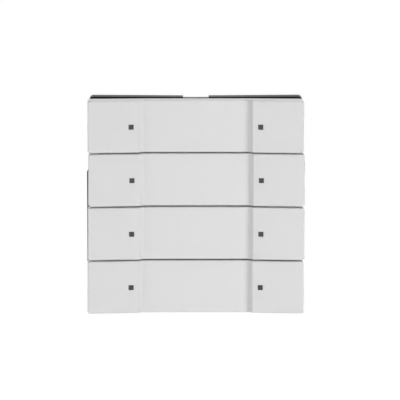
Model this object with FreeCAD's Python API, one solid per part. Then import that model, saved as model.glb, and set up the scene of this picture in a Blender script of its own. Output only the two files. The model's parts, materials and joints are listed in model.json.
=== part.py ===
import FreeCAD, Part

import math
import os

# Wall-mounted pushbutton sensor with four rockers, one above the other.
# Frame: X to the right, Y into the wall, Z up, in millimetres. The origin is the centre of the
# mounting face, where the flange rests on the support ring. The rockers face -Y.
# Each rocker is a cap clipped on a lever, and tilts left and right about an upright pin at X = 0.
# Under each end of a lever a sprung plunger presses a snap dome on the circuit board.

# Rockers, as seen from the front
FACE_WIDTH = 63.0
ROCKER_COUNT = 4
ROCKER_GAP = 0.34
CORNER_RADIUS = 0.8
CAP_PLAY = ((-0.1, -0.05), (0.15, -0.02), (0.05, -0.03), (-0.1, -0.03))  # each cap's small shift in X and Z

# Front surface of a cap: a level recess, a hollow wall on each side, and two sloping raised ends
END_LENGTH = 15.0  # from the step's top edge to the cap's outer end
STEP_HEIGHT = 1.2
WALL_ANGLE = 48.0  # degrees
WALL_RADIUS = 1.4
FOOT_ANGLE = 5.0  # degrees
FOOT_RADIUS = 12.0
END_RISE = 1.3
STEP_EDGE_RADIUS = 0.4
FRONT_EDGE_RADIUS = 0.35
FRONT_FACING = -0.3  # a face is part of the front when its normal's Y is below this

# Cap shell
CAP_WALL = 1.2
CAP_SIDE_WALL = 1.1
SKIRT_DEPTH = 2.7
SKIRT_RELIEF = 0.75
SKIRT_LEVEL_HALF = 14.0
CATCH_X = 8.0
CATCH_WIDTH = 2.0
CATCH_HEIGHT = 4.0
CATCH_BARB = 0.4
CATCH_BARB_THICKNESS = 0.45
CATCH_PLAY = 0.02
CAP_RIB_INSET = 0.6
CAP_RIB_THICKNESS = 1.0
CAP_RIB_HEIGHT = 9.0

# Indicator windows
WINDOW_OFFSET = 2.3  # outward from the step's top edge
WINDOW_DROP = 0.15
WINDOW_SIZE = 1.4
WINDOW_CLEARANCE = 0.05
WINDOW_FLANGE = 0.4
WINDOW_FLANGE_THICKNESS = 0.4
WINDOW_SINK = 0.04

# Stack from the mounting face forward
COVER_PLATE = 1.1
SEAT_RIB = 0.3
BOARD_THICKNESS = 1.2
BOARD_STANDOFF = 2.2
CARRIER_PLATE = 1.2
LEVER_SPACE = 1.7
LEVER_THICKNESS = 1.6

# Lever
LEVER_END_INSET = 2.9
LEVER_SIDE_GAP = 0.1
CATCH_CLEARANCE = 0.25
LEVER_RIB_THICKNESS = 0.8
LEVER_RIB_HEIGHT = 0.35
LEVER_RIB_INSET = 8.6
PAD_RADIUS = 2.0
PAD_THICKNESS = 0.3

# Pivots
TILT_LIMIT = 1.2  # degrees each way
PIN_RADIUS = 1.0
PIN_CLEARANCE = 0.05
PIN_FORWARD = 0.5  # from the carrier plate's front face to the pin's axis
CLIP_WALL = 0.85
CLIP_LENGTH = 2.5
CLIP_SPREAD = 2.8
CLIP_MOUTH = 1.6
NECK_HALF = 1.5
POST_THICKNESS = 2.2
POST_HALF_WIDTH = 2.2
PIVOT_WINDOW_HALF = 3.2
PIVOT_WINDOW_MARGIN = 0.375

# Plungers, their springs and the domes that they press
PLUNGER_INSET = 6.0  # from the cap's outer end
STEM_RADIUS = 1.2
STEM_CLEARANCE = 0.05
HEAD_RADIUS = 2.7
HEAD_RIM = 0.35
HEAD_CROWN = 0.3
HEAD_GAP = 0.03
DOME_PRESS = 0.15
DOME_RADIUS = 2.0
DOME_HEIGHT = 0.3
DOME_SKIN = 0.08
GUIDE_WALL = 0.55
GUIDE_END_GAP = 0.7
POCKET_RADIUS = 3.0
POCKET_WALL = 0.6
POCKET_FLOOR = 0.6
SPRING_RADIUS = 2.4
SPRING_WIRE = 0.25
SPRING_TURNS = 3.5
SPRING_END_TURNS = 0.75
SPRING_END_PITCH = 0.28
SPRING_STEPS_PER_TURN = 20
SPRING_LENGTH = 2.3
SPRING_END_GAP = 0.02

# Carrier
FLANGE_SIDE_INSET = 0.5  # from the caps' outline
FLANGE_TOP_INSET = 0.25
FLANGE_CORNER = 1.3
FLANGE_EAR = 5.0  # height of the flange's full width at each corner
FLANGE_SIDE_RECESS = 0.5
FLANGE_DEPTH = 3.7
FLANGE_SAG = 0.2
NOTCH_HALF = 3.72
NOTCH_DEPTH = 0.7
RIM_INSET = 0.8
RIM_WALL = 1.2
RIM_HEIGHT = 0.8
CARRIER_WALL = 1.6
LEDGE_WIDTH = 0.4
SIDE_RIB_REACH = 0.7
SIDE_RIB_TAPER = 0.1
SIDE_RIB_BEVEL = 1.2
SIDE_RIB_TOP = 10.0
SIDE_RIB_BOTTOM = -18.7
SIDE_RIB_INSET = 0.35
RIB_SLOT_HEIGHT = 1.2

# Fixing holes through the flange, for two screws into the support ring
FIXING_INSET = 5.0
FIXING_RADIUS = 1.6
FIXING_HEAD_RADIUS = 2.9
FIXING_HEAD_DEPTH = 1.4
FIXING_BOSS_RADIUS = 3.7
FIXING_TUBE_RADIUS = 2.5

# Rear cover
COVER_CLEARANCE = 0.15
BOX_INSET = 9.0
BOX_DEPTH = 9.8
BOX_WALL = 1.2
BOX_CORNER = 2.0
BOX_EDGE_RADIUS = 0.7
SEAT_RIB_WIDTH = 1.0
LABEL_WIDTH = 28.0
LABEL_HEIGHT = 9.0
LABEL_THICKNESS = 0.15
LABEL_Z = -12.5
LABEL_MARGIN = 0.2
PAD_FRAME_INSET = 4.5
PAD_FRAME_STEP = 0.3

# Cover screws
SCREW_INSET = 5.0
SCREW_RADIUS = 0.78
SCREW_CLEARANCE = 0.02
SCREW_HEAD_RADIUS = 1.6
SCREW_HEAD_DEPTH = 0.75
SCREW_LENGTH = 5.3
SCREW_HOLE_RADIUS = 1.1
SCREW_BOSS_RADIUS = 1.9
SCREW_SLOT_WIDTH = 0.4
SCREW_SLOT_DEPTH = 0.3
SCREW_SLOT_REACH = 1.0

# Circuit board and what is soldered on it
BOARD_CLEARANCE = 0.2
BOARD_CORNER = 1.0
LED_LENGTH = 1.6
LED_WIDTH = 1.2
LED_HEIGHT = 0.8
LED_GAP = 0.15
PIN_ROWS = 2
PIN_COLUMNS = 5
PIN_STEP = 2.54
PIN_SIZE = 0.64
PIN_REACH = 4.5
PIN_SOLDER = 0.5
PIN_HOLE_RADIUS = 0.5
PIN_POINT = 0.2
HEADER_PROUD = 0.5
HEADER_CLEARANCE = 0.2
CONTROLLER_SIZE = (7.0, 7.0)
CONTROLLER_INSETS = (8.3, 11.3)  # of its middle, from the rear box's inner walls
CONTROLLER_HEIGHT = 1.4
CRYSTAL_SIZE = (5.0, 3.2)
CRYSTAL_HEIGHT = 1.1
CRYSTAL_TOP_INSET = 7.8
CHIP_SIZE = (2.0, 1.25)
CHIP_HEIGHT = 0.6
FRONT_CHIP_XS = (-14.0, -11.5, 11.5, 14.0)
BACK_CHIP_SIDE_INSETS = (4.8, 7.8)  # from the rear box's inner walls
BACK_CHIP_TOP_INSETS = (2.8, 5.3)
BACK_CHIP_LOW_ZS = (-12.0, -9.5)
CAPACITOR_RADIUS = 2.5
CAPACITOR_HEIGHT = 5.4
CAPACITOR_INSETS = (9.8, 11.3)
CAPACITOR_EDGE = 0.3
CAPACITOR_GROOVE = 0.4
CAPACITOR_GROOVE_Y = 1.0

# Light guides
GUIDE_SIZE = 1.5
GUIDE_CLEARANCE = 0.05
GUIDE_STRIP_WIDTH = 2.4
GUIDE_STRIP_THICKNESS = 0.8
GUIDE_STRIP_END = 2.5
GUIDE_TOP_GAP = 0.6
GUIDE_HOLE = 2.8

# Spring claws at the sides of the box
CLAW_THICKNESS = 0.45
CLAW_WIDTH = 8.0
CLAW_LIMIT = 8.0  # degrees inward
CLAW_ROOT_INSET = 0.9  # of the strip's middle, from the box's side
CLAW_END_MARGIN = 0.8
CLAW_ROOT_LENGTH = 2.4
CLAW_CATCH_PROUD = 1.0
CLAW_CATCH_Y = 2.4
CLAW_TIP_INSET = 0.1
CLAW_TIP_Y = 1.8
CLAW_BEND_RADIUS = 0.5
CLAW_RECESS_DEPTH = 1.7
CLAW_RECESS_HALF = 5.2
STAKE_RADIUS = 0.7
STAKE_HEAD_RADIUS = 1.2
STAKE_HOLE_RADIUS = 0.85
STAKE_GAP = 0.25

# Places that follow from the sizes above
HALF_WIDTH = FACE_WIDTH / 2
ROCKER_PITCH = FACE_WIDTH / ROCKER_COUNT
ROCKER_HEIGHT = ROCKER_PITCH - ROCKER_GAP
STEP_HALF = HALF_WIDTH - END_LENGTH
FOOT_LEAN, WALL_LEAN = math.radians(FOOT_ANGLE), math.radians(WALL_ANGLE)
ARC_RISE = FOOT_RADIUS * (1 - math.cos(FOOT_LEAN)) + WALL_RADIUS * (math.cos(FOOT_LEAN) - math.cos(WALL_LEAN))
ARC_RUN = FOOT_RADIUS * math.sin(FOOT_LEAN) + WALL_RADIUS * (math.sin(WALL_LEAN) - math.sin(FOOT_LEAN))
RECESS_HALF = STEP_HALF - ARC_RUN - (STEP_HEIGHT - ARC_RISE) / math.tan(WALL_LEAN)
WINDOW_X = STEP_HALF + WINDOW_OFFSET
LEVER_HALF_LENGTH = HALF_WIDTH - LEVER_END_INSET
CAP_RIB_X = LEVER_HALF_LENGTH - CAP_RIB_INSET
LEVER_RIB_REACH = LEVER_HALF_LENGTH - LEVER_RIB_INSET
PLUNGER_X = HALF_WIDTH - PLUNGER_INSET
FLANGE_HALF = HALF_WIDTH - FLANGE_SIDE_INSET
FLANGE_TOP = HALF_WIDTH - FLANGE_TOP_INSET
RIM_HALF = FLANGE_HALF - RIM_INSET
NOTCH_FLOOR = FLANGE_TOP - NOTCH_DEPTH
FIXING_X = FLANGE_HALF - FIXING_INSET
SCREW_X = FLANGE_HALF - SCREW_INSET
BOX_HALF = FLANGE_HALF - BOX_INSET
PAD_FRAME_HALF = BOX_HALF - PAD_FRAME_INSET
PIVOT_WINDOW_REACH = (ROCKER_PITCH - POST_THICKNESS) / 2 - PIVOT_WINDOW_MARGIN
ROCKER_ZS = [ROCKER_PITCH * ((ROCKER_COUNT - 1) / 2 - i) for i in range(ROCKER_COUNT)]
SEAM_ZS = [ROCKER_PITCH * (ROCKER_COUNT / 2 - i) for i in range(1, ROCKER_COUNT)]
END_POST_Z = RIM_HALF - POST_THICKNESS / 2

COVER_FRONT_Y = -COVER_PLATE
BOARD_BACK_Y = COVER_FRONT_Y - SEAT_RIB
BOARD_FRONT_Y = BOARD_BACK_Y - BOARD_THICKNESS
PLATE_BACK_Y = BOARD_FRONT_Y - BOARD_STANDOFF
PLATE_FRONT_Y = PLATE_BACK_Y - CARRIER_PLATE
LEVER_BACK_Y = PLATE_FRONT_Y - LEVER_SPACE
LEVER_FRONT_Y = LEVER_BACK_Y - LEVER_THICKNESS
RECESS_Y = LEVER_FRONT_Y - CAP_WALL
STEP_Y = RECESS_Y - STEP_HEIGHT
END_Y = STEP_Y - END_RISE
FLANGE_FRONT_Y = -FLANGE_DEPTH
RIM_FRONT_Y = PLATE_FRONT_Y - RIM_HEIGHT
PIN_Y = PLATE_FRONT_Y - PIN_FORWARD
POST_FRONT_Y = PIN_Y - PIN_RADIUS
PAD_Y = LEVER_BACK_Y + PAD_THICKNESS
DOME_TOP_Y = BOARD_FRONT_Y - DOME_HEIGHT
PLUNGER_TRAVEL = PLUNGER_X * math.radians(TILT_LIMIT)
STEM_TIP_Y = DOME_TOP_Y + DOME_PRESS - PLUNGER_TRAVEL
HEAD_TOP_Y = PAD_Y + HEAD_GAP
HEAD_BACK_Y = HEAD_TOP_Y + HEAD_CROWN + HEAD_RIM
GUIDE_END_Y = BOARD_FRONT_Y - GUIDE_END_GAP
POCKET_FLOOR_Y = HEAD_BACK_Y + SPRING_LENGTH
CLIP_RADIUS = PIN_RADIUS + PIN_CLEARANCE + CLIP_WALL
WINDOW_ZS = [z - WINDOW_DROP for z in ROCKER_ZS]
SCREW_ZS = (ROCKER_PITCH, -ROCKER_PITCH)
CAVITY_HALF = BOX_HALF - BOX_WALL
CAVITY_END_Y = BOX_DEPTH - BOX_WALL
CONTROLLER_PLACE = (CONTROLLER_INSETS[0] - CAVITY_HALF, CAVITY_HALF - CONTROLLER_INSETS[1])
CRYSTAL_PLACE = (0, CAVITY_HALF - CRYSTAL_TOP_INSET)
CAPACITOR_PLACE = tuple(CAVITY_HALF - inset for inset in CAPACITOR_INSETS)
LABEL_Y = BOX_DEPTH - PAD_FRAME_STEP - LABEL_THICKNESS
HEADER_SIZE = (PIN_COLUMNS * PIN_STEP, PIN_ROWS * PIN_STEP)
HEADER_BACK_Y = BOX_DEPTH + HEADER_PROUD
CLAW_ROOT_X = BOX_HALF - CLAW_ROOT_INSET
CLAW_ROOT_BACK = BOX_DEPTH - CLAW_END_MARGIN
CLAW_ROOT_FRONT = CLAW_ROOT_BACK - CLAW_ROOT_LENGTH
CLAW_PIVOT_Y = CLAW_ROOT_BACK - CLAW_ROOT_LENGTH / 2
CLAW_RECESS_X = BOX_HALF - CLAW_RECESS_DEPTH
CLAW_CATCH = (BOX_HALF + CLAW_CATCH_PROUD, CLAW_CATCH_Y)
CLAW_TIP = (BOX_HALF - CLAW_TIP_INSET, CLAW_TIP_Y)
LEFT_RIGHT = (("left", -1), ("right", 1))


def vector(x, y, z):
    return FreeCAD.Vector(x, y, z)


def block(x0, x1, y0, y1, z0, z1):
    return Part.makeBox(x1 - x0, y1 - y0, z1 - z0, vector(x0, y0, z0))


def centred_block(x, z, width, height, y0, y1):
    return block(x - width / 2, x + width / 2, y0, y1, z - height / 2, z + height / 2)


def rod(radius, x, z, y0, y1):
    """A cylinder along Y."""
    return Part.makeCylinder(radius, y1 - y0, vector(x, y0, z), vector(0, 1, 0))


def upright_rod(radius, x, y, z0, z1):
    """A cylinder along Z."""
    return Part.makeCylinder(radius, z1 - z0, vector(x, y, z0), vector(0, 0, 1))


def join(shapes):
    joined = shapes[0]
    if len(shapes) > 1:
        joined = joined.fuse(shapes[1:])
    return joined.removeSplitter()


def rounded_block(half_x, half_z, corner, y0, y1):
    """A block centred on the Y axis whose four edges along Y are rounded."""
    solid = block(-half_x, half_x, y0, y1, -half_z, half_z)
    edges = [e for e in solid.Edges if runs_along(e, vector(0, 1, 0))]
    return solid.makeFillet(corner, edges)


def runs_along(edge, direction):
    if len(edge.Vertexes) != 2 or edge.Curve.TypeId != "Part::GeomLine":
        return False
    chord = edge.Vertexes[1].Point - edge.Vertexes[0].Point
    return chord.Length > 1e-6 and abs(chord.normalize().dot(direction)) > 0.9999


def polygon(points):
    """A closed outline through (x, y) points, at Z = 0."""
    corners = [vector(x, y, 0) for x, y in points]
    return Part.makePolygon(corners + corners[:1])


def extrude_z(outline, z0, z1):
    outline.translate(vector(0, 0, z0))
    return Part.Face(outline).extrude(vector(0, 0, z1 - z0))


def mirrored(shape):
    """The same shape on the other side of X = 0."""
    return shape.mirror(vector(0, 0, 0), vector(1, 0, 0))


# Rocker caps and their windows


def front_y(x):
    """Y of the raised end's sloping surface."""
    slope = END_RISE / (HALF_WIDTH - STEP_HALF)
    return STEP_Y - slope * (abs(x) - STEP_HALF)


def recess_wall(side):
    """The edges from the recess's floor up to the raised end on one side: two hollow arcs, then a line."""
    foot, turn = arc_end(RECESS_HALF, RECESS_Y, FOOT_RADIUS, 0, FOOT_LEAN)
    wall, bend = arc_end(*foot, WALL_RADIUS, FOOT_LEAN, WALL_LEAN)
    places = [(RECESS_HALF, RECESS_Y), turn, foot, bend, wall, (STEP_HALF, STEP_Y)]
    points = [vector(side * x, y, 0) for x, y in places]
    arcs = [Part.Arc(*points[0:3]).toShape(), Part.Arc(*points[2:5]).toShape()]
    return arcs + [Part.LineSegment(*points[4:6]).toShape()]


def arc_end(x, y, radius, start, end):
    """Where a hollow arc that starts at (x, y) ends and its middle, as its lean grows from start to end."""
    centre = (x - radius * math.sin(start), y - radius * math.cos(start))
    middle = (start + end) / 2
    return [(centre[0] + radius * math.sin(a), centre[1] + radius * math.cos(a)) for a in (end, middle)]


def cap_outline():
    """The cap's outer outline in plan. The skirt's rear edge rises to both ends, for the tilt."""
    half = HALF_WIDTH
    skirt_y = RECESS_Y + SKIRT_DEPTH
    end_skirt_y = skirt_y - SKIRT_RELIEF
    left_end = vector(-half, front_y(half), 0)
    right_end = vector(half, front_y(half), 0)
    skirt = [(half, end_skirt_y), (SKIRT_LEVEL_HALF, skirt_y)]
    skirt += [(-x, y) for x, y in reversed(skirt)]
    rear = [vector(x, y, 0) for x, y in skirt]
    walls = recess_wall(-1) + recess_wall(1)
    step = {side: vector(side * STEP_HALF, STEP_Y, 0) for side in (-1, 1)}
    foot = {side: vector(side * RECESS_HALF, RECESS_Y, 0) for side in (-1, 1)}
    lines = [
        (left_end, step[-1]),
        (foot[-1], foot[1]),
        (step[1], right_end),
        (right_end, rear[0]),
        (rear[3], left_end),
    ] + list(zip(rear, rear[1:]))
    edges = [Part.LineSegment(a, b).toShape() for a, b in lines] + walls
    return Part.Wire(Part.__sortEdges__(edges))


def cap_envelope():
    """The cap's outer form at Z = 0, with rounded corners and front edges, before it is hollowed."""
    half_height = ROCKER_HEIGHT / 2
    solid = extrude_z(cap_outline(), -half_height, half_height)
    corners = [e for e in solid.Edges if runs_along(e, vector(0, 1, 0)) and at_end(e)]
    solid = solid.makeFillet(CORNER_RADIUS, corners)
    steps = [e for e in solid.Edges if runs_along(e, vector(0, 0, 1)) and at_step(e)]
    solid = solid.makeFillet(STEP_EDGE_RADIUS, steps)
    return solid.makeFillet(FRONT_EDGE_RADIUS, front_rim(solid))


def at_end(edge):
    return abs(abs(edge.CenterOfMass.x) - HALF_WIDTH) < 1e-4


def at_step(edge):
    middle = edge.CenterOfMass
    return abs(abs(middle.x) - STEP_HALF) < 1e-4 and abs(middle.y - STEP_Y) < 1e-4


def front_rim(solid):
    """The edges between the front surface and the sides."""
    rim = []
    for edge in solid.Edges:
        faces = solid.ancestorsOfType(edge, Part.Face)
        facing = [face.normalAt(*middle_of(face)).y < FRONT_FACING for face in faces]
        if len(faces) == 2 and facing[0] != facing[1]:
            rim.append(edge)
    return rim


def middle_of(face):
    u0, u1, v0, v1 = face.ParameterRange
    return (u0 + u1) / 2, (v0 + v1) / 2


def cap_cavity():
    """The hollow of a cap at Z = 0, open to the rear."""
    half = HALF_WIDTH - CAP_WALL
    rear = RECESS_Y + SKIRT_DEPTH + CAP_WALL
    foot_x = RECESS_HALF + CAP_WALL
    step_x = STEP_HALF + CAP_WALL / 2
    right = [
        (half, rear),
        (half, front_y(half) + CAP_WALL),
        (step_x, front_y(step_x) + CAP_WALL),
        (foot_x, LEVER_FRONT_Y),
    ]
    left = [(-x, y) for x, y in reversed(right)]
    half_height = ROCKER_HEIGHT / 2 - CAP_SIDE_WALL
    return extrude_z(polygon(right + left), -half_height, half_height)


def cap_catches():
    """Two posts that go through the lever, each with barbs behind it."""
    barb_y = LEVER_BACK_Y + CATCH_PLAY
    catches = []
    for side in (-1, 1):
        x = side * CATCH_X
        post = centred_block(x, 0, CATCH_WIDTH, CATCH_HEIGHT, LEVER_FRONT_Y - CAP_WALL / 2, barb_y)
        barb_width = CATCH_WIDTH + 2 * CATCH_BARB
        barb = centred_block(x, 0, barb_width, CATCH_HEIGHT, barb_y, barb_y + CATCH_BARB_THICKNESS)
        catches += [post, barb]
    return catches


def cap_ribs():
    """Ribs under the raised ends, which rest on the lever."""
    top = front_y(CAP_RIB_X) + CAP_WALL / 2
    return [
        centred_block(side * CAP_RIB_X, 0, CAP_RIB_THICKNESS, CAP_RIB_HEIGHT, top, LEVER_FRONT_Y)
        for side in (-1, 1)
    ]


def window_prism(side, size, y0, y1):
    return centred_block(side * WINDOW_X, -WINDOW_DROP, size, size, y0, y1)


def make_cap(envelope):
    cap = envelope.cut(cap_cavity())
    cap = join([cap] + cap_catches() + cap_ribs())
    opening = WINDOW_SIZE + 2 * WINDOW_CLEARANCE
    holes = [window_prism(side, opening, END_Y - 1, LEVER_FRONT_Y) for side in (-1, 1)]
    return cap.cut(holes)


def make_window(envelope, side):
    """A smoked square lens with a flange behind the cap's wall."""
    seat_y = front_y(WINDOW_X) + CAP_WALL
    slope_room = (WINDOW_SIZE / 2 + WINDOW_FLANGE) * END_RISE / (HALF_WIDTH - STEP_HALF)
    flange_y = seat_y + slope_room
    body = window_prism(side, WINDOW_SIZE, END_Y - 1, flange_y + WINDOW_FLANGE_THICKNESS)
    sunk = envelope.copy()
    sunk.translate(vector(0, WINDOW_SINK, 0))
    body = body.common(sunk)
    flange_size = WINDOW_SIZE + 2 * WINDOW_FLANGE
    flange = window_prism(side, flange_size, flange_y, flange_y + WINDOW_FLANGE_THICKNESS)
    return join([body, flange])


# Levers


def lever_clip(z):
    """A C-shaped clip round the pivot pin, open to the rear."""
    z0, z1 = z - CLIP_LENGTH / 2, z + CLIP_LENGTH / 2
    ring = upright_rod(CLIP_RADIUS, 0, PIN_Y, z0, z1)
    neck = block(-NECK_HALF, NECK_HALF, LEVER_FRONT_Y, PIN_Y, z0, z1)
    hole = upright_rod(PIN_RADIUS + PIN_CLEARANCE, 0, PIN_Y, z0, z1)
    mouth = block(-CLIP_MOUTH / 2, CLIP_MOUTH / 2, PIN_Y, PIN_Y + 2 * CLIP_RADIUS, z0, z1)
    return ring.fuse(neck).cut([hole, mouth])


def make_lever():
    half_z = ROCKER_HEIGHT / 2 - CAP_SIDE_WALL - LEVER_SIDE_GAP
    half_x = LEVER_HALF_LENGTH
    plate = block(-half_x, half_x, LEVER_FRONT_Y, LEVER_BACK_Y, -half_z, half_z)
    pieces = [lever_clip(-CLIP_SPREAD), lever_clip(CLIP_SPREAD)]
    rib_z = half_z - LEVER_RIB_THICKNESS
    for side in (-1, 1):
        pieces.append(rod(PAD_RADIUS, side * PLUNGER_X, 0, LEVER_FRONT_Y, PAD_Y))
        x0, x1 = sorted((side * (PIVOT_WINDOW_HALF + 1), side * LEVER_RIB_REACH))
        for z0 in (-half_z, rib_z):
            rib_back = LEVER_BACK_Y + LEVER_RIB_HEIGHT
            pieces.append(block(x0, x1, LEVER_BACK_Y, rib_back, z0, z0 + LEVER_RIB_THICKNESS))
    pin_room = upright_rod(PIN_RADIUS + PIN_CLEARANCE, 0, PIN_Y, -half_z, half_z)
    solid = join([plate] + pieces).cut(pin_room)
    slot_width = CATCH_WIDTH + 2 * CATCH_CLEARANCE
    slot_height = CATCH_HEIGHT + 2 * LEVER_SIDE_GAP
    holes = []
    for side in (-1, 1):
        y0, y1 = LEVER_FRONT_Y, PAD_Y
        holes.append(centred_block(side * CATCH_X, 0, slot_width, slot_height, y0, y1))
        holes.append(centred_block(side * WINDOW_X, -WINDOW_DROP, GUIDE_HOLE, GUIDE_HOLE, y0, y1))
    return solid.cut(holes)


# Plungers, springs and domes


def make_plunger(x, z):
    """A stem in its guide, with a crowned head that the lever's pad rests on."""
    crown_radius = (HEAD_RADIUS**2 + HEAD_CROWN**2) / (2 * HEAD_CROWN)
    ball = Part.makeSphere(crown_radius, vector(x, HEAD_TOP_Y + crown_radius, z))
    head = rod(HEAD_RADIUS, x, z, HEAD_TOP_Y, HEAD_BACK_Y).common(ball)
    stem = rod(STEM_RADIUS, x, z, HEAD_BACK_Y, STEM_TIP_Y)
    return join([head, stem])


def make_spring(x, z):
    """A coil round the plunger's guide, from the pocket's floor to the plunger's head."""
    steps = round(SPRING_TURNS * SPRING_STEPS_PER_TURN)
    sections = [spring_section(step / SPRING_STEPS_PER_TURN) for step in range(steps + 1)]
    coil = Part.makeLoft(sections, True, True)
    coil.translate(vector(x, HEAD_BACK_Y + SPRING_END_GAP + SPRING_WIRE / 2, z))
    return coil


def spring_section(turn):
    """The wire's section, a small hexagon, this many turns from the front end."""
    angle = 2 * math.pi * turn
    outward = vector(math.cos(angle), 0, math.sin(angle))
    centre = outward * SPRING_RADIUS + vector(0, spring_rise(turn), 0)
    corners = []
    for corner in range(6):
        lean = corner * math.pi / 3
        offset = outward * math.cos(lean) + vector(0, math.sin(lean), 0)
        corners.append(centre + offset * (SPRING_WIRE / 2))
    return Part.makePolygon(corners + corners[:1])


def spring_rise(turn):
    """How far the wire has climbed: the end coils lie close, the middle ones are open."""
    height = SPRING_LENGTH - SPRING_WIRE - 2 * SPRING_END_GAP
    end_rise = SPRING_END_TURNS * SPRING_END_PITCH
    open_turns = SPRING_TURNS - 2 * SPRING_END_TURNS
    if turn < SPRING_END_TURNS:
        return turn * SPRING_END_PITCH
    if turn < SPRING_END_TURNS + open_turns:
        return end_rise + (turn - SPRING_END_TURNS) / open_turns * (height - 2 * end_rise)
    return height - (SPRING_TURNS - turn) * SPRING_END_PITCH


def make_dome(x, z):
    """A thin snap dome that stands on the board."""
    radius = (DOME_RADIUS**2 + DOME_HEIGHT**2) / (2 * DOME_HEIGHT)
    centre = vector(x, DOME_TOP_Y + radius, z)
    outer = Part.makeSphere(radius, centre)
    inner = Part.makeSphere(radius - DOME_SKIN, centre)
    base = rod(DOME_RADIUS, x, z, DOME_TOP_Y, BOARD_FRONT_Y)
    return base.common(outer).cut(inner)


# Carrier


def flange_outline():
    """The flange from the front: its long edges sink a little to a notch, and its sides are recessed."""
    ear_z = FLANGE_TOP - FLANGE_EAR
    quarter = [
        (NOTCH_HALF, NOTCH_FLOOR),
        (NOTCH_HALF, FLANGE_TOP - FLANGE_SAG),
        (FLANGE_HALF, FLANGE_TOP),
        (FLANGE_HALF, ear_z),
        (FLANGE_HALF - FLANGE_SIDE_RECESS, ear_z - FLANGE_SIDE_RECESS),
    ]
    points = quarter + [(x, -z) for x, z in reversed(quarter)]
    points += [(-x, -z) for x, z in quarter] + [(-x, z) for x, z in reversed(quarter)]
    wire = Part.makePolygon([vector(x, 0, z) for x, z in points + points[:1]])
    solid = Part.Face(wire).extrude(vector(0, FLANGE_DEPTH, 0))
    solid.translate(vector(0, FLANGE_FRONT_Y, 0))
    edges = [e for e in solid.Edges if runs_along(e, vector(0, 1, 0)) and at_corner(e)]
    return solid.makeFillet(FLANGE_CORNER, edges)


def at_corner(edge):
    middle = edge.CenterOfMass
    return abs(abs(middle.x) - FLANGE_HALF) < 1e-4 and abs(abs(middle.z) - FLANGE_TOP) < 1e-4


def side_rib():
    """A guide rib on the flange's left side, bevelled at both ends, with a slot behind it at each seam."""
    inner, outer = FLANGE_HALF - RIM_WALL, FLANGE_HALF + SIDE_RIB_REACH
    outline = [
        (inner, SIDE_RIB_BOTTOM),
        (FLANGE_HALF, SIDE_RIB_BOTTOM),
        (outer - SIDE_RIB_TAPER, SIDE_RIB_BOTTOM + SIDE_RIB_BEVEL),
        (outer, SIDE_RIB_TOP - SIDE_RIB_BEVEL),
        (FLANGE_HALF, SIDE_RIB_TOP),
        (inner, SIDE_RIB_TOP),
    ]
    wire = Part.makePolygon([vector(-x, 0, z) for x, z in outline + outline[:1]])
    depth = FLANGE_DEPTH - 2 * SIDE_RIB_INSET
    rib = Part.Face(wire).extrude(vector(0, depth, 0))
    rib.translate(vector(0, FLANGE_FRONT_Y + SIDE_RIB_INSET, 0))
    slot_x = FLANGE_HALF - FLANGE_SIDE_RECESS / 2
    slots = [
        centred_block(-slot_x, z, FLANGE_SIDE_RECESS, RIB_SLOT_HEIGHT, FLANGE_FRONT_Y, 0)
        for z in SEAM_ZS
    ]
    return rib.cut(slots)


def carrier_shell():
    ledge_half = FLANGE_HALF - CARRIER_WALL - LEDGE_WIDTH
    front = rounded_block(RIM_HALF, RIM_HALF, FLANGE_CORNER, RIM_FRONT_Y, FLANGE_FRONT_Y)
    well_half = RIM_HALF - RIM_WALL
    well = rounded_block(well_half, well_half, BOARD_CORNER, RIM_FRONT_Y, PLATE_FRONT_Y)
    shell = join([front, flange_outline(), side_rib()])
    board_half = FLANGE_HALF - CARRIER_WALL
    board_room = rounded_block(board_half, board_half, BOARD_CORNER, BOARD_FRONT_Y, 0)
    back_room = rounded_block(ledge_half, ledge_half, BOARD_CORNER, PLATE_BACK_Y, BOARD_FRONT_Y)
    return shell.cut([well, board_room, back_room])


def pivot_posts():
    """The posts between the rockers, and the pin that runs through them all."""
    posts = []
    for z in SEAM_ZS + [END_POST_Z, -END_POST_Z]:
        z0, z1 = z - POST_THICKNESS / 2, z + POST_THICKNESS / 2
        posts.append(block(-POST_HALF_WIDTH, POST_HALF_WIDTH, POST_FRONT_Y, PLATE_FRONT_Y, z0, z1))
    return posts + [upright_rod(PIN_RADIUS, 0, PIN_Y, -END_POST_Z, END_POST_Z)]


def pivot_windows():
    """Openings in the plate behind each lever's clips."""
    reach = PIVOT_WINDOW_REACH
    half = PIVOT_WINDOW_HALF
    return [block(-half, half, PLATE_FRONT_Y, PLATE_BACK_Y, z - reach, z + reach) for z in ROCKER_ZS]


def plunger_places():
    """(name of the side, rocker number, x, z) of each plunger."""
    return [
        (name, number, side * PLUNGER_X, z)
        for number, z in enumerate(ROCKER_ZS, start=1)
        for name, side in LEFT_RIGHT
    ]


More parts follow.
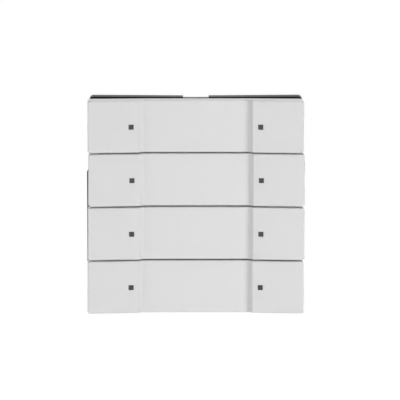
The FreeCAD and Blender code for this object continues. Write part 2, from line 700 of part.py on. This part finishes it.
def make_carrier():
    shell = carrier_shell().cut(pivot_windows())
    added, removed = pivot_posts(), []
    for _, _, x, z in plunger_places():
        added.append(rod(POCKET_RADIUS + POCKET_WALL, x, z, PLATE_FRONT_Y, POCKET_FLOOR_Y + POCKET_FLOOR))
        added.append(rod(STEM_RADIUS + STEM_CLEARANCE + GUIDE_WALL, x, z, PLATE_FRONT_Y, GUIDE_END_Y))
        guide = rod(STEM_RADIUS + STEM_CLEARANCE + GUIDE_WALL, x, z, PLATE_FRONT_Y, GUIDE_END_Y)
        removed.append(rod(POCKET_RADIUS, x, z, PLATE_FRONT_Y, POCKET_FLOOR_Y).cut(guide))
        removed.append(rod(STEM_RADIUS + STEM_CLEARANCE, x, z, PLATE_FRONT_Y, GUIDE_END_Y))
    for side in (-1, 1):
        x = side * FIXING_X
        added.append(rod(FIXING_BOSS_RADIUS, x, 0, PLATE_FRONT_Y, BOARD_FRONT_Y))
        added.append(rod(FIXING_TUBE_RADIUS, x, 0, BOARD_FRONT_Y, 0))
        removed.append(rod(FIXING_HEAD_RADIUS, x, 0, PLATE_FRONT_Y, PLATE_FRONT_Y + FIXING_HEAD_DEPTH))
        removed.append(rod(FIXING_RADIUS, x, 0, PLATE_FRONT_Y, 0))
        for z in SCREW_ZS:
            added.append(rod(SCREW_BOSS_RADIUS, side * SCREW_X, z, PLATE_BACK_Y, BOARD_FRONT_Y))
            hole_radius = SCREW_RADIUS + SCREW_CLEARANCE
            tip = -SCREW_LENGTH - SCREW_CLEARANCE
            removed.append(rod(hole_radius, side * SCREW_X, z, tip, BOARD_FRONT_Y))
        hole = GUIDE_SIZE + 2 * GUIDE_CLEARANCE
        for z in WINDOW_ZS:
            removed.append(centred_block(side * WINDOW_X, z, hole, hole, PLATE_FRONT_Y, PLATE_BACK_Y))
    return join([shell] + added).cut(removed)


# Rear cover, its screws and the claws


def header_window():
    width, height = (size + 2 * HEADER_CLEARANCE for size in HEADER_SIZE)
    return centred_block(0, 0, width, height, CAVITY_END_Y, BOX_DEPTH)


def rear_box():
    """The box behind the flange, with rounded edges and a recess for each claw."""
    box = rounded_block(BOX_HALF, BOX_HALF, BOX_CORNER, COVER_FRONT_Y, BOX_DEPTH)
    rim = [e for e in box.Edges if abs(e.CenterOfMass.y - BOX_DEPTH) < 1e-4]
    box = box.makeFillet(BOX_EDGE_RADIUS, rim)
    recess = block(CLAW_RECESS_X, BOX_HALF, 0, BOX_DEPTH, -CLAW_RECESS_HALF, CLAW_RECESS_HALF)
    return box.cut([recess, mirrored(recess)])


def box_cavity():
    cavity = rounded_block(CAVITY_HALF, CAVITY_HALF, BOX_WALL, COVER_FRONT_Y, CAVITY_END_Y)
    wall_half = CLAW_RECESS_HALF + BOX_WALL
    inner_x = CLAW_RECESS_X - BOX_WALL
    thick = block(inner_x, BOX_HALF, 0, BOX_DEPTH, -wall_half, wall_half)
    return cavity.cut([thick, mirrored(thick)])


def claw_stake():
    """The moulded rivet that holds the right claw's root, and the pad behind it."""
    half = CLAW_THICKNESS / 2
    pad_x = CLAW_ROOT_X - half - STAKE_GAP
    head_x = CLAW_ROOT_X + half + STAKE_GAP
    start = CLAW_RECESS_X - BOX_WALL / 2
    direction = vector(1, 0, 0)
    pad = Part.makeCylinder(STAKE_HEAD_RADIUS, pad_x - start, vector(start, CLAW_PIVOT_Y, 0), direction)
    shaft = Part.makeCylinder(STAKE_RADIUS, head_x - start, vector(start, CLAW_PIVOT_Y, 0), direction)
    head_length = BOX_HALF - head_x
    head = Part.makeCylinder(STAKE_HEAD_RADIUS, head_length, vector(head_x, CLAW_PIVOT_Y, 0), direction)
    return join([pad, shaft, head])


def label_place(margin, y0, y1):
    return centred_block(0, LABEL_Z, LABEL_WIDTH + 2 * margin, LABEL_HEIGHT + 2 * margin, y0, y1)


def make_rear_cover():
    plate_half = FLANGE_HALF - CARRIER_WALL - COVER_CLEARANCE
    plate = rounded_block(plate_half, plate_half, BOARD_CORNER, COVER_FRONT_Y, 0)
    rib_half = plate_half - SEAT_RIB_WIDTH
    seat = rounded_block(plate_half, plate_half, BOARD_CORNER, BOARD_BACK_Y, COVER_FRONT_Y)
    seat_room = rounded_block(rib_half, rib_half, BOARD_CORNER, BOARD_BACK_Y, COVER_FRONT_Y)
    cover = join([plate, seat.cut(seat_room), rear_box()])
    frame_half = PAD_FRAME_HALF
    frame = centred_block(0, 0, 2 * frame_half, 2 * frame_half, BOX_DEPTH - PAD_FRAME_STEP, BOX_DEPTH)
    removed = [box_cavity(), header_window(), frame.cut(header_frame())]
    removed.append(label_place(LABEL_MARGIN, LABEL_Y, BOX_DEPTH))
    for side in (-1, 1):
        tube_room = FIXING_TUBE_RADIUS + COVER_CLEARANCE
        removed.append(rod(tube_room, side * FIXING_X, 0, BOARD_BACK_Y, 0))
        for z in SCREW_ZS:
            removed.append(rod(SCREW_HOLE_RADIUS, side * SCREW_X, z, BOARD_BACK_Y, 0))
            removed.append(screw_head(side * SCREW_X, z, SCREW_CLEARANCE))
    cover = cover.cut(removed)
    stake = claw_stake()
    return join([cover, stake, mirrored(stake)])


def header_frame():
    """What stays standing round the header window inside the sunk panel."""
    width, height = (size + 2 * HEADER_CLEARANCE + 2 * BOX_WALL for size in HEADER_SIZE)
    return centred_block(0, 0, width, height, CAVITY_END_Y, BOX_DEPTH)


def screw_head(x, z, clearance):
    """A countersunk head, flush with the mounting face."""
    narrow, wide = SCREW_RADIUS + clearance, SCREW_HEAD_RADIUS + clearance
    return Part.makeCone(narrow, wide, SCREW_HEAD_DEPTH, vector(x, -SCREW_HEAD_DEPTH, z), vector(0, 1, 0))


def make_screw(x, z):
    shank = rod(SCREW_RADIUS, x, z, -SCREW_LENGTH, -SCREW_HEAD_DEPTH)
    screw = join([shank, screw_head(x, z, 0)])
    long_side, short_side = 2 * SCREW_SLOT_REACH, SCREW_SLOT_WIDTH
    cross = [
        centred_block(x, z, long_side, short_side, -SCREW_SLOT_DEPTH, 0),
        centred_block(x, z, short_side, long_side, -SCREW_SLOT_DEPTH, 0),
    ]
    return screw.cut(cross)


def make_claw():
    """The right claw: a bent strip, staked at its root, whose catch snaps behind the support ring."""
    middle = [
        (CLAW_ROOT_X, CLAW_ROOT_BACK),
        (CLAW_ROOT_X, CLAW_ROOT_FRONT),
        CLAW_CATCH,
        CLAW_TIP,
    ]
    outline = strip_outline(middle, CLAW_THICKNESS)
    solid = extrude_z(polygon(outline), -CLAW_WIDTH / 2, CLAW_WIDTH / 2)
    bends = [e for e in solid.Edges if runs_along(e, vector(0, 0, 1)) and near_catch(e)]
    solid = solid.makeFillet(CLAW_BEND_RADIUS, bends)
    hole = Part.makeCylinder(
        STAKE_HOLE_RADIUS, BOX_HALF, vector(0, CLAW_PIVOT_Y, 0), vector(1, 0, 0)
    )
    hole.translate(vector(CLAW_ROOT_X - BOX_HALF / 2, 0, 0))
    return solid.cut(hole)


def near_catch(edge):
    middle = edge.CenterOfMass
    outward = middle.x > CLAW_CATCH[0]
    return outward and abs(middle.y - CLAW_CATCH[1]) < 2 * CLAW_THICKNESS


def strip_outline(points, thickness):
    """Both sides of a strip that follows (x, y) points, with mitred bends."""
    left, right = [], []
    for i, point in enumerate(points):
        before = direction_of(points[i - 1], point) if i else None
        after = direction_of(point, points[i + 1]) if i + 1 < len(points) else None
        before, after = before or after, after or before
        normal = (-(before[1] + after[1]), before[0] + after[0])
        length = math.hypot(*normal)
        lean = (normal[0] * -after[1] + normal[1] * after[0]) / length
        reach = thickness / 2 / lean
        shift = (normal[0] / length * reach, normal[1] / length * reach)
        left.append((point[0] + shift[0], point[1] + shift[1]))
        right.append((point[0] - shift[0], point[1] - shift[1]))
    return left + right[::-1]


def direction_of(start, end):
    dx, dy = end[0] - start[0], end[1] - start[1]
    length = math.hypot(dx, dy)
    return dx / length, dy / length


# Circuit board and what it carries


def pin_places():
    xs = [(column - (PIN_COLUMNS - 1) / 2) * PIN_STEP for column in range(PIN_COLUMNS)]
    zs = [(row - (PIN_ROWS - 1) / 2) * PIN_STEP for row in range(PIN_ROWS)]
    return [(x, z) for x in xs for z in zs]


def make_board():
    half = FLANGE_HALF - CARRIER_WALL - BOARD_CLEARANCE
    board = rounded_block(half, half, BOARD_CORNER, BOARD_FRONT_Y, BOARD_BACK_Y)
    holes = [rod(PIN_HOLE_RADIUS, x, z, BOARD_FRONT_Y, BOARD_BACK_Y) for x, z in pin_places()]
    for side in (-1, 1):
        room = FIXING_TUBE_RADIUS + BOARD_CLEARANCE
        holes.append(rod(room, side * FIXING_X, 0, BOARD_FRONT_Y, BOARD_BACK_Y))
        x0, x1 = sorted((side * FIXING_X, side * FLANGE_HALF))
        holes.append(block(x0, x1, BOARD_FRONT_Y, BOARD_BACK_Y, -room, room))
        for z in SCREW_ZS:
            holes.append(rod(SCREW_HOLE_RADIUS, side * SCREW_X, z, BOARD_FRONT_Y, BOARD_BACK_Y))
    return board.cut(holes)


def make_header():
    """A raised insulator that carries the pins from the board out through the rear cover."""
    width, height = HEADER_SIZE
    body = centred_block(0, 0, width, height, BOARD_BACK_Y, HEADER_BACK_Y)
    holes = [square_pin(x, z, BOARD_BACK_Y, HEADER_BACK_Y) for x, z in pin_places()]
    return body.cut(holes)


def square_pin(x, z, y0, y1):
    return centred_block(x, z, PIN_SIZE, PIN_SIZE, y0, y1)


def make_pins():
    pins = []
    for x, z in pin_places():
        end = BOX_DEPTH + PIN_REACH
        pin = square_pin(x, z, BOARD_FRONT_Y - PIN_SOLDER, end)
        tip = [e for e in pin.Edges if abs(e.CenterOfMass.y - end) < 1e-6]
        pins.append(pin.makeChamfer(PIN_POINT, tip))
    return pins


def make_leds():
    front = BOARD_FRONT_Y - LED_HEIGHT
    return [
        centred_block(side * WINDOW_X, z, LED_WIDTH, LED_LENGTH, front, BOARD_FRONT_Y)
        for z in WINDOW_ZS
        for side in (-1, 1)
    ]


def make_light_guide(side):
    """One moulding with a post to each window on its side of the rockers."""
    x = side * WINDOW_X
    top = front_y(WINDOW_X) + CAP_WALL + WINDOW_FLANGE_THICKNESS + GUIDE_TOP_GAP
    end_z = WINDOW_ZS[0] + GUIDE_STRIP_END
    half = GUIDE_STRIP_WIDTH / 2
    strip_back = PLATE_BACK_Y + GUIDE_STRIP_THICKNESS
    strip = block(x - half, x + half, PLATE_BACK_Y, strip_back, -end_z - 2 * WINDOW_DROP, end_z)
    foot = BOARD_FRONT_Y - LED_HEIGHT - LED_GAP
    posts = [centred_block(x, z, GUIDE_SIZE, GUIDE_SIZE, top, foot) for z in WINDOW_ZS]
    return join([strip] + posts)


def on_board_back(place, size, height):
    return centred_block(*place, *size, BOARD_BACK_Y, BOARD_BACK_Y + height)


def make_capacitor():
    """An upright can with a groove pressed in near its foot."""
    can = rod(CAPACITOR_RADIUS, *CAPACITOR_PLACE, BOARD_BACK_Y, BOARD_BACK_Y + CAPACITOR_HEIGHT)
    top = [e for e in can.Edges if abs(e.CenterOfMass.y - BOARD_BACK_Y - CAPACITOR_HEIGHT) < 1e-6]
    can = can.makeFillet(CAPACITOR_EDGE, top)
    y0 = BOARD_BACK_Y + CAPACITOR_GROOVE_Y
    y1 = y0 + CAPACITOR_GROOVE
    ring = rod(CAPACITOR_RADIUS + 1, *CAPACITOR_PLACE, y0, y1)
    core = rod(CAPACITOR_RADIUS - CAPACITOR_GROOVE / 2, *CAPACITOR_PLACE, y0, y1)
    return can.cut(ring.cut(core))


def small_chips():
    """Resistors and capacitors on both sides of the board."""
    width, height = CHIP_SIZE
    chips = []
    for z in WINDOW_ZS:
        for x in FRONT_CHIP_XS:
            chips.append(centred_block(x, z, height, width, BOARD_FRONT_Y - CHIP_HEIGHT, BOARD_FRONT_Y))
    rows = [CAVITY_HALF - inset for inset in BACK_CHIP_TOP_INSETS] + list(BACK_CHIP_LOW_ZS)
    for inset in BACK_CHIP_SIDE_INSETS:
        for z in rows:
            for side in (-1, 1):
                chips.append(on_board_back((side * (CAVITY_HALF - inset), z), CHIP_SIZE, CHIP_HEIGHT))
    return chips


def build():
    envelope = cap_envelope()
    cap, lever = make_cap(envelope), make_lever()
    parts = {
        "carrier": make_carrier(),
        "rear_cover": make_rear_cover(),
        "circuit_board": make_board(),
        "pin_header": make_header(),
        "header_pins": Part.makeCompound(make_pins()),
        "status_leds": Part.makeCompound(make_leds()),
        "controller_chip": on_board_back(CONTROLLER_PLACE, CONTROLLER_SIZE, CONTROLLER_HEIGHT),
        "crystal": on_board_back(CRYSTAL_PLACE, CRYSTAL_SIZE, CRYSTAL_HEIGHT),
        "smoothing_capacitor": make_capacitor(),
        "small_chips": Part.makeCompound(small_chips()),
        "rear_label": label_place(0, LABEL_Y, LABEL_Y + LABEL_THICKNESS),
        "cover_screws": Part.makeCompound(
            [make_screw(side * SCREW_X, z) for z in SCREW_ZS for side in (-1, 1)]
        ),
        "snap_domes": Part.makeCompound([make_dome(x, z) for _, _, x, z in plunger_places()]),
        "claw_right": make_claw(),
        "claw_left": mirrored(make_claw()),
    }
    for name, side in LEFT_RIGHT:
        parts[f"light_guide_{name}"] = make_light_guide(side)
    for number, z in enumerate(ROCKER_ZS, start=1):
        shift, rise = CAP_PLAY[(number - 1) % len(CAP_PLAY)]
        parts[f"rocker_cap_{number}"] = moved(cap, shift, z + rise)
        parts[f"rocker_lever_{number}"] = moved(lever, 0, z)
        for name, side in LEFT_RIGHT:
            parts[f"window_{name}_{number}"] = moved(make_window(envelope, side), shift, z + rise)
    for name, number, x, z in plunger_places():
        parts[f"plunger_{name}_{number}"] = make_plunger(x, z)
        parts[f"return_spring_{name}_{number}"] = make_spring(x, z)
    return parts


def moved(shape, x, z):
    copy = shape.copy()
    copy.translate(vector(x, 0, z))
    return copy


def main():
    os.makedirs("parts", exist_ok=True)
    for name, shape in build().items():
        shape.exportStep(f"parts/{name}.step")


main()
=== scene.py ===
import json
import math

import bmesh
import bpy
from mathutils import Matrix, Vector


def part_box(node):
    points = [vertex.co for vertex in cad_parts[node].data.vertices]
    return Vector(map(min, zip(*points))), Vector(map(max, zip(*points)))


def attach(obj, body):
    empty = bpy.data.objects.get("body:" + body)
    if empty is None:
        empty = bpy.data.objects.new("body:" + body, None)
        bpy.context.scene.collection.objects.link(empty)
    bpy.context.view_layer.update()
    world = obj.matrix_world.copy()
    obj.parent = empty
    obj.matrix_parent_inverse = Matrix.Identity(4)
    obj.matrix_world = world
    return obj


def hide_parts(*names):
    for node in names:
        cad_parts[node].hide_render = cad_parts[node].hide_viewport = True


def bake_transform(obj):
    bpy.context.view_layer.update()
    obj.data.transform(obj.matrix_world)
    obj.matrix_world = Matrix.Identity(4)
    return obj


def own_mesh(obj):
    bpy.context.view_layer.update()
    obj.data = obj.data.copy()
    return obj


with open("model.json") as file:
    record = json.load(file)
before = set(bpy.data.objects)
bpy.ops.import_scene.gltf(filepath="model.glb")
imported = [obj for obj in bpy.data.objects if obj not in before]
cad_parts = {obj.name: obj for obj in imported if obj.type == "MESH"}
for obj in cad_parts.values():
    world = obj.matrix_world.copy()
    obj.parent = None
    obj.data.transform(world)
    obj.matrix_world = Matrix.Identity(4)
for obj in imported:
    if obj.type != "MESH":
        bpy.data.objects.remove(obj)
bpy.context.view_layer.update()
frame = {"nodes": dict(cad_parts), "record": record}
nodes = frame["nodes"]

# The pressed places: both ends of each rocker, from the top rocker down
PLACES = [f"{side}_{number}" for number in range(1, 5) for side in ("left", "right")]

# Camera: where the photograph was taken from, in degrees and metres. The lens is in millimetres.
AZIMUTH = -0.77
ELEVATION = 9.11
ROLL = 0.08
DISTANCE = 2.291
TARGET = Vector((0.00111, -0.0129, 0.002195))
LENS = 709.9
SENSOR_WIDTH = 36.0
CLIP_START = 0.1
CLIP_END = 50.0

# Soft square lamps: azimuth and elevation in degrees from the front, distance and side in metres,
# and how bright a white surface that faces the lamp renders
LAMPS = {
    "key": (56.0, 5.0, 0.50, 0.20, 0.495),
    "side": (-66.6, 2.0, 0.80, 0.20, 0.215),
    "fill": (0.8, -9.1, 1.00, 0.35, 0.39),
    "top": (165.0, 70.0, 0.40, 0.25, 0.57),
    "back": (150.0, -10.0, 0.50, 0.35, 0.50),
    "left back": (-115.0, 5.0, 0.60, 0.30, 0.40),
}

# Light from all round, and what the camera sees behind the object
AMBIENT = 0.03
BACKDROP = 1.0

# Floor: its height and half its side in metres, its colours, and the glow that the camera sees
FLOOR_Z = -0.25
FLOOR_HALF = 4.0
FLOOR_COLORS = (0.80, 0.80, 0.80), (0.82, 0.82, 0.82)
FLOOR_ROUGHNESS = 0.9
FLOOR_MOTTLE = 3.0
FLOOR_GLOW = 0.915

# Noise: most of its values lie between these two. Scales are in cells per metre.
NOISE_LOW = 0.3
NOISE_HIGH = 0.7
NOISE_ROUGHNESS = 0.55
MOTTLE_DETAIL = 3.0
GRAIN = 9000.0
GRAIN_DEPTH = 0.00002

# Rolled strip: its grain runs along Z
ROLLED = (1, 1, 0.05)

# Refraction of the light guides' clear plastic
CLEAR_IOR = 1.49

# The Mix node's sockets for colours
MIX_FACTOR = 0
MIX_FIRST = 6
MIX_SECOND = 7
MIX_RESULT = 2

# For each material slot of the record: colour, roughness, and what differs from a plain moulding
SURFACES = {
    "rocker_white": (
        (0.72, 0.72, 0.72), 0.42, {"vary": 0.004, "rough_vary": 0.03, "specular": 0.6}
    ),
    "lever_black": ((0.016, 0.016, 0.017), 0.5, {}),
    "carrier_black": ((0.018, 0.018, 0.019), 0.5, {"bump": 0.08, "specular": 0.25}),
    "cover_black": ((0.018, 0.018, 0.019), 0.48, {"bump": 0.15}),
    "window_smoke": ((0.018, 0.018, 0.019), 0.3, {"vary": 0.08, "mottle": 900.0, "specular": 0.2}),
    "plunger_grey": ((0.26, 0.27, 0.28), 0.5, {}),
    "spring_steel": ((0.62, 0.62, 0.63), 0.28, {"metallic": 1.0}),
    "claw_steel": ((0.30, 0.30, 0.31), 0.45, {"metallic": 1.0, "stretch": ROLLED, "bump": 0.08}),
    "screw_zinc": ((0.30, 0.30, 0.30), 0.45, {"metallic": 1.0, "bump": 0.03}),
    "header_black": ((0.012, 0.012, 0.012), 0.55, {}),
    "pin_tin": ((0.72, 0.69, 0.60), 0.25, {"metallic": 1.0}),
    "led_resin": ((0.80, 0.77, 0.62), 0.3, {}),
    "chip_black": ((0.014, 0.014, 0.014), 0.5, {}),
    "chip_grey": ((0.16, 0.12, 0.085), 0.45, {}),
    "crystal_can": ((0.68, 0.68, 0.67), 0.28, {"metallic": 1.0}),
    "capacitor_can": ((0.74, 0.74, 0.75), 0.3, {"metallic": 1.0}),
    "label_grey": ((0.56, 0.57, 0.58), 0.6, {}),
    "board_green": ((0.010, 0.10, 0.035), 0.3, {"vary": 0.15, "mottle": 700.0}),
    "guide_clear": ((0.90, 0.93, 0.95), 0.08, {"bump": 0.01, "transmission": 0.9}),
}


def link(tree, source, target):
    tree.links.new(source, target)


def node(tree, kind, **values):
    """A new shader node. Each value goes to the socket of that name, or else to the setting."""
    made = tree.nodes.new(kind)
    for name, value in values.items():
        if name in made.inputs:
            made.inputs[name].default_value = value
        else:
            setattr(made, name, value)
    return made


def new_material(name):
    material = bpy.data.materials.new(name)
    material.use_nodes = True
    tree = material.node_tree
    return material, tree, tree.nodes["Principled BSDF"]


def noise(tree, scale, detail=2.0, stretch=(1, 1, 1)):
    """Noise in the part's own coordinates."""
    place = node(tree, "ShaderNodeTexCoord")
    mapping = node(tree, "ShaderNodeMapping", Scale=stretch)
    link(tree, place.outputs["Object"], mapping.inputs["Vector"])
    made = node(tree, "ShaderNodeTexNoise", Scale=scale, Detail=detail, Roughness=NOISE_ROUGHNESS)
    link(tree, mapping.outputs["Vector"], made.inputs["Vector"])
    return made.outputs["Fac"]


def spread(tree, value, low, high):
    """Maps noise to the range low to high."""
    made = node(tree, "ShaderNodeMapRange")
    made.inputs["From Min"].default_value = NOISE_LOW
    made.inputs["From Max"].default_value = NOISE_HIGH
    made.inputs["To Min"].default_value = low
    made.inputs["To Max"].default_value = high
    link(tree, value, made.inputs["Value"])
    return made.outputs["Result"]


def tint(tree, value, low, high):
    """The colour between low and high that value, from 0 to 1, stands for."""
    made = node(tree, "ShaderNodeMix", data_type="RGBA")
    made.inputs[MIX_FIRST].default_value = (*low, 1)
    made.inputs[MIX_SECOND].default_value = (*high, 1)
    link(tree, value, made.inputs[MIX_FACTOR])
    return made.outputs[MIX_RESULT]


def surface(name, color, roughness, vary=0.03, rough_vary=0.05, mottle=400.0, bump=0.02,
            stretch=(1, 1, 1), metallic=0.0, specular=0.5, transmission=0.0):
    """A moulded, painted or drawn surface: mottled colour, uneven gloss and a fine grain."""
    material, tree, shader = new_material(name)
    patches = spread(tree, noise(tree, mottle, MOTTLE_DETAIL, stretch), 0.0, 1.0)
    low = tuple(c * (1 - vary) for c in color)
    high = tuple(min(1.0, c * (1 + vary)) for c in color)
    link(tree, tint(tree, patches, low, high), shader.inputs["Base Color"])
    fine = noise(tree, GRAIN, stretch=stretch)
    gloss = spread(tree, fine, roughness - rough_vary, roughness + rough_vary)
    link(tree, gloss, shader.inputs["Roughness"])
    relief = node(tree, "ShaderNodeBump", Strength=bump, Distance=GRAIN_DEPTH)
    link(tree, fine, relief.inputs["Height"])
    link(tree, relief.outputs["Normal"], shader.inputs["Normal"])
    shader.inputs["Metallic"].default_value = metallic
    shader.inputs["Specular IOR Level"].default_value = specular
    if transmission:
        shader.inputs["Transmission Weight"].default_value = transmission
        shader.inputs["IOR"].default_value = CLEAR_IOR
    return material


def paint_all():
    """Each CAD node gets the material of its slot."""
    materials = {
        slot: surface(slot, color, roughness, **more)
        for slot, (color, roughness, more) in SURFACES.items()
    }
    for row in frame["record"]["subparts"]:
        mesh = nodes[row["node"]].data
        mesh.materials.clear()
        mesh.materials.append(materials[row["material_slot"]])


def copy_of(node_name, name):
    """A piece with the shape and material of a CAD node, which it stands for."""
    piece = bpy.data.objects.new(name, nodes[node_name].data.copy())
    bpy.context.scene.collection.objects.link(piece)
    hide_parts(node_name)
    return piece


def add_springs():
    """Each return spring becomes a piece of its own, with its placing baked into its mesh."""
    for place in PLACES:
        spring = copy_of(f"return_spring_{place}", f"flexing_spring_{place}")
        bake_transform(spring)


def keep_between(mesh, low, high):
    """Deletes what lies outside low and high as seen from the front."""
    shape = bmesh.new()
    shape.from_mesh(mesh)
    outside = [
        v for v in shape.verts if not (low[0] < v.co.x < high[0] and low[2] < v.co.z < high[2])
    ]
    bmesh.ops.delete(shape, geom=outside, context="VERTS")
    shape.to_mesh(mesh)
    shape.free()


def add_domes():
    """Each plunger gets its own copy of the snap domes, cut down to what lies within the plunger's
    outline seen from the front, and hung on the housing.
    """
    for place in PLACES:
        low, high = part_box(f"plunger_{place}")
        dome = copy_of("snap_domes", f"flexing_dome_{place}")
        keep_between(dome.data, low, high)
        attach(dome, "housing")
        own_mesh(dome)


def seen_directly(tree):
    """1 for the camera, and for what shows in metal or through clear plastic."""
    path = node(tree, "ShaderNodeLightPath")
    total = path.outputs["Is Camera Ray"]
    for other in ("Is Glossy Ray", "Is Transmission Ray"):
        made = node(tree, "ShaderNodeMath", operation="MAXIMUM")
        link(tree, total, made.inputs[0])
        link(tree, path.outputs[other], made.inputs[1])
        total = made.outputs[0]
    return total


def choose(tree, hidden, seen, output):
    """Shows one shader to what sees it directly, and lets the other light the object."""
    chosen = node(tree, "ShaderNodeMixShader")
    link(tree, seen_directly(tree), chosen.inputs[0])
    link(tree, hidden.outputs[0], chosen.inputs[1])
    link(tree, seen.outputs[0], chosen.inputs[2])
    link(tree, chosen.outputs[0], tree.nodes[output].inputs["Surface"])


def add_floor():
    """A pale floor, which glows only to what sees it directly and keeps the object's shadow."""
    mesh = bpy.data.meshes.new("floor")
    h, z = FLOOR_HALF, FLOOR_Z
    mesh.from_pydata([(-h, -h, z), (h, -h, z), (h, h, z), (-h, h, z)], [], [(0, 1, 2, 3)])
    floor = bpy.data.objects.new("floor", mesh)
    bpy.context.scene.collection.objects.link(floor)
    material, tree, shader = new_material("floor_pale")
    patches = spread(tree, noise(tree, FLOOR_MOTTLE), 0.0, 1.0)
    link(tree, tint(tree, patches, *FLOOR_COLORS), shader.inputs["Base Color"])
    shader.inputs["Roughness"].default_value = FLOOR_ROUGHNESS
    glow = node(tree, "ShaderNodeEmission", Strength=FLOOR_GLOW)
    total = node(tree, "ShaderNodeAddShader")
    link(tree, shader.outputs[0], total.inputs[0])
    link(tree, glow.outputs[0], total.inputs[1])
    choose(tree, shader, total, "Material Output")
    mesh.materials.append(material)


def add_world():
    """Faint light from all round, with a white backdrop."""
    world = bpy.data.worlds.new("studio")
    bpy.context.scene.world = world
    world.use_nodes = True
    tree = world.node_tree
    soft = tree.nodes["Background"]
    soft.inputs["Color"].default_value = (1, 1, 1, 1)
    soft.inputs["Strength"].default_value = AMBIENT
    bright = node(tree, "ShaderNodeBackground", Color=(1, 1, 1, 1), Strength=BACKDROP)
    choose(tree, soft, bright, "World Output")


def aim(thing, place, target):
    """Puts a lamp or camera at a place, upright and turned to a target."""
    back = (place - target).normalized()
    right = Vector((0, 0, 1)).cross(back).normalized()
    up = back.cross(right)
    thing.matrix_world = Matrix(
        (
            (right.x, up.x, back.x, place.x),
            (right.y, up.y, back.y, place.y),
            (right.z, up.z, back.z, place.z),
            (0, 0, 0, 1),
        )
    )


def from_front(azimuth, elevation):
    """The unit vector that points this many degrees to the right of the front, and up."""
    turn, rise = math.radians(azimuth), math.radians(elevation)
    level = math.cos(rise)
    return Vector((math.sin(turn) * level, -math.cos(turn) * level, math.sin(rise)))


def add_lamp(name, azimuth, elevation, distance, size, strength):
    data = bpy.data.lights.new(name, "AREA")
    data.shape = "SQUARE"
    data.size = size
    data.energy = strength * (math.pi * distance) ** 2
    lamp = bpy.data.objects.new(name, data)
    bpy.context.scene.collection.objects.link(lamp)
    aim(lamp, from_front(azimuth, elevation) * distance, Vector((0, 0, 0)))


def add_camera():
    data = bpy.data.cameras.new("camera")
    data.sensor_width = SENSOR_WIDTH
    data.sensor_fit = "HORIZONTAL"
    data.lens = LENS
    data.clip_start = CLIP_START
    data.clip_end = CLIP_END
    camera = bpy.data.objects.new("camera", data)
    bpy.context.scene.collection.objects.link(camera)
    aim(camera, TARGET + from_front(AZIMUTH, ELEVATION) * DISTANCE, TARGET)
    camera.matrix_world = camera.matrix_world @ Matrix.Rotation(math.radians(ROLL), 4, "Z")
    bpy.context.scene.camera = camera


paint_all()
add_springs()
add_domes()
add_floor()
add_world()
for lamp_name, values in LAMPS.items():
    add_lamp(lamp_name, *values)
add_camera()
bpy.context.scene.view_settings.view_transform = "Standard"
